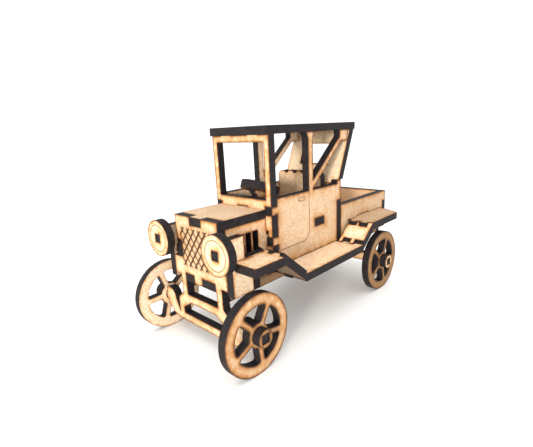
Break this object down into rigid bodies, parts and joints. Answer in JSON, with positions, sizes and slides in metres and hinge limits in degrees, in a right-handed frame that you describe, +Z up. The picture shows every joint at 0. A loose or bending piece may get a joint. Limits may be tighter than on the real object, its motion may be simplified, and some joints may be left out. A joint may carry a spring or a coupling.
{
  "type": "wooden 3d jigsaw model",
  "caption": "Small vintage pickup truck pushed together from interlocking flat wooden boards, with spoked wheels that turn freely.",
  "frame": {"origin": "on the ground, under the middle of the overall length and width", "axes": "-Y is the front of the truck, +X is the side on the driver's left, +Z is up"},
  "size_m": [0.0598, 0.123, 0.0783],
  "materials": {
    "board": "matt fibreboard, laser-cut, faces tan and edges charred",
    "wheel_board": "matt fibreboard, more scorched than the body, edges charred",
    "hub_board": "matt fibreboard, heavily scorched, edges charred",
    "lamp_board": "matt fibreboard with an engraved ring, edges charred",
    "steering_board": "matt fibreboard, narrow strips that are mostly charred edge"
  },
  "bodies": {
    "truck": {"bed_floor": "board", "bed_side_left": "board", "bed_side_right": "board", "cab_back_wall": "board", "cab_floor": "board", "cab_side_left": "board", "cab_side_right": "board", "chassis_rail_left": "board", "chassis_rail_right": "board", "cross_piece_left": "board", "cross_piece_right": "board", "front_fender_left": "board", "front_fender_right": "board", "front_step_left": "board", "front_step_right": "board", "headlight_left": "lamp_board", "headlight_right": "lamp_board", "hood_side_left": "board", "hood_side_right": "board", "hood_top": "board", "hub_front_left": "hub_board", "hub_front_right": "hub_board", "hub_rear_left": "hub_board", "hub_rear_right": "hub_board", "lamp_bracket_left": "board", "lamp_bracket_right": "board", "radiator_frame": "board", "rear_axle_frame": "board", "rear_fender_left": "board", "rear_fender_right": "board", "rear_step_left": "board", "rear_step_right": "board", "rear_window_panel": "board", "roof": "board", "running_board_left": "board", "running_board_right": "board", "seat_back": "board", "seat_base": "board", "seat_front": "board", "steering_column": "steering_board", "steering_wheel": "steering_board", "tailgate": "board", "windscreen_panel": "board"},
    "wheel_front_left": {"wheel_front_left": "wheel_board"},
    "wheel_front_right": {"wheel_front_right": "wheel_board"},
    "wheel_rear_left": {"wheel_rear_left": "wheel_board"},
    "wheel_rear_right": {"wheel_rear_right": "wheel_board"}
  },
  "joints": [
    {"name": "wheel_front_left_spin", "type": "hinge", "parent": "truck", "child": "wheel_front_left", "pos_m": [0.0252, -0.0475, 0.014], "axis": [1, 0, 0], "continuous": true},
    {"name": "wheel_front_right_spin", "type": "hinge", "parent": "truck", "child": "wheel_front_right", "pos_m": [-0.0252, -0.0475, 0.014], "axis": [1, 0, 0], "continuous": true},
    {"name": "wheel_rear_left_spin", "type": "hinge", "parent": "truck", "child": "wheel_rear_left", "pos_m": [0.0252, 0.0365, 0.014], "axis": [1, 0, 0], "continuous": true},
    {"name": "wheel_rear_right_spin", "type": "hinge", "parent": "truck", "child": "wheel_rear_right", "pos_m": [-0.0252, 0.0365, 0.014], "axis": [1, 0, 0], "continuous": true}
  ]
}
